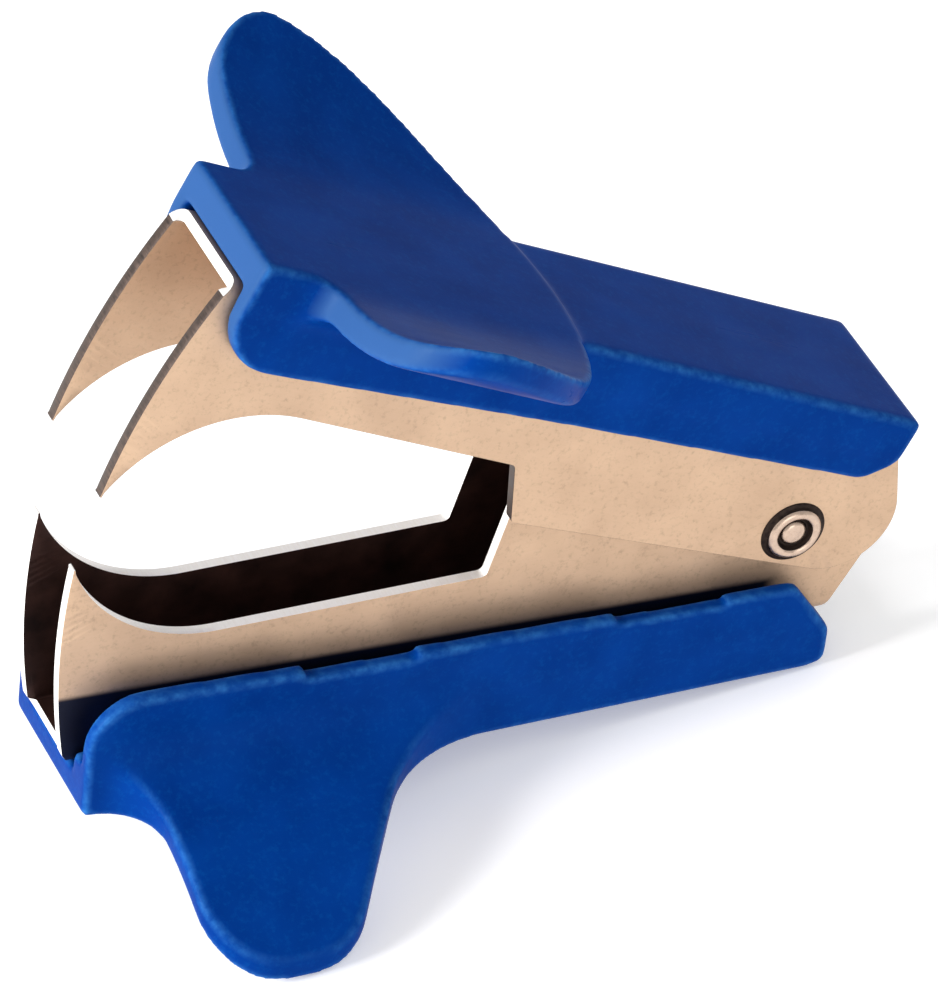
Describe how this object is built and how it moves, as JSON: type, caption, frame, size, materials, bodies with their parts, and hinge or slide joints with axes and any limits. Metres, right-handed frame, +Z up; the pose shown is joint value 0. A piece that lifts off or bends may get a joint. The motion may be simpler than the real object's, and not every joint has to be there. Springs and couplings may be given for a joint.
{
  "type": "staple remover",
  "caption": "Claw-type staple remover: hinged sheet-steel jaws with pointed fangs, held open by a coil spring, under blue plastic finger grips with dished wings.",
  "frame": {"origin": "on the table, under the middle of the whole object's bounding box, with the remover standing open on its lower grip", "axes": "+X from the fangs to the pivot end, +Y along the pivot axis to the side of the rivet's domed head, +Z up"},
  "size_m": [0.0606, 0.0392, 0.0471],
  "materials": {
    "jaw_steel": "fine brushed nickel plate with a warm tone",
    "blue_plastic": "semi-gloss moulded plastic",
    "rivet_steel": "polished",
    "spring_steel": "drawn wire"
  },
  "bodies": {
    "lower": {"lower_jaw": "jaw_steel", "lower_grip": "blue_plastic", "torsion_spring": "spring_steel"},
    "upper": {"upper_jaw": "jaw_steel", "upper_grip": "blue_plastic", "pivot_rivet": "rivet_steel"}
  },
  "joints": [
    {"name": "jaw_pivot", "type": "hinge", "parent": "lower", "child": "upper", "pos_m": [0.02153, 0, 0.01129], "axis": [0, -1, 0], "range_deg": [0, 20], "stiffness_Nm_per_rad": 0.8, "springref_deg": -2.86, "deforming": ["torsion_spring"]}
  ]
}
